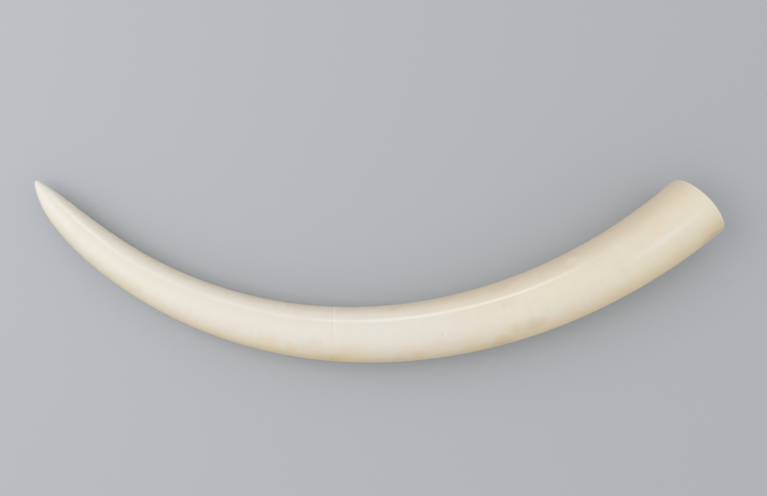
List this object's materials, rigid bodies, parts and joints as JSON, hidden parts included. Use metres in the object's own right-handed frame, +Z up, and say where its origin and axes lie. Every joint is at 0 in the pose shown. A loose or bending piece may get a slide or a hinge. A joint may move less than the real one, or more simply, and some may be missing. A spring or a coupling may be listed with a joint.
{
  "type": "mammoth tusk",
  "caption": "Gently curved ivory tusk lying on its side, swelling evenly from a blunt, slightly raised tip to a sawn, hollow root.",
  "frame": {"origin": "centre of the bounding box seen from above, on the surface that the tusk lies on", "axes": "+X from the tip's side towards the sawn root, +Y towards the hollow side of the curve, +Z up"},
  "size_m": [1.0314, 0.2738, 0.0981],
  "materials": {
    "ivory": "polished to a soft satin, cream with faint lengthwise streaks and tan stains"
  },
  "bodies": {
    "root": {"tusk": "ivory"}
  },
  "joints": []
}
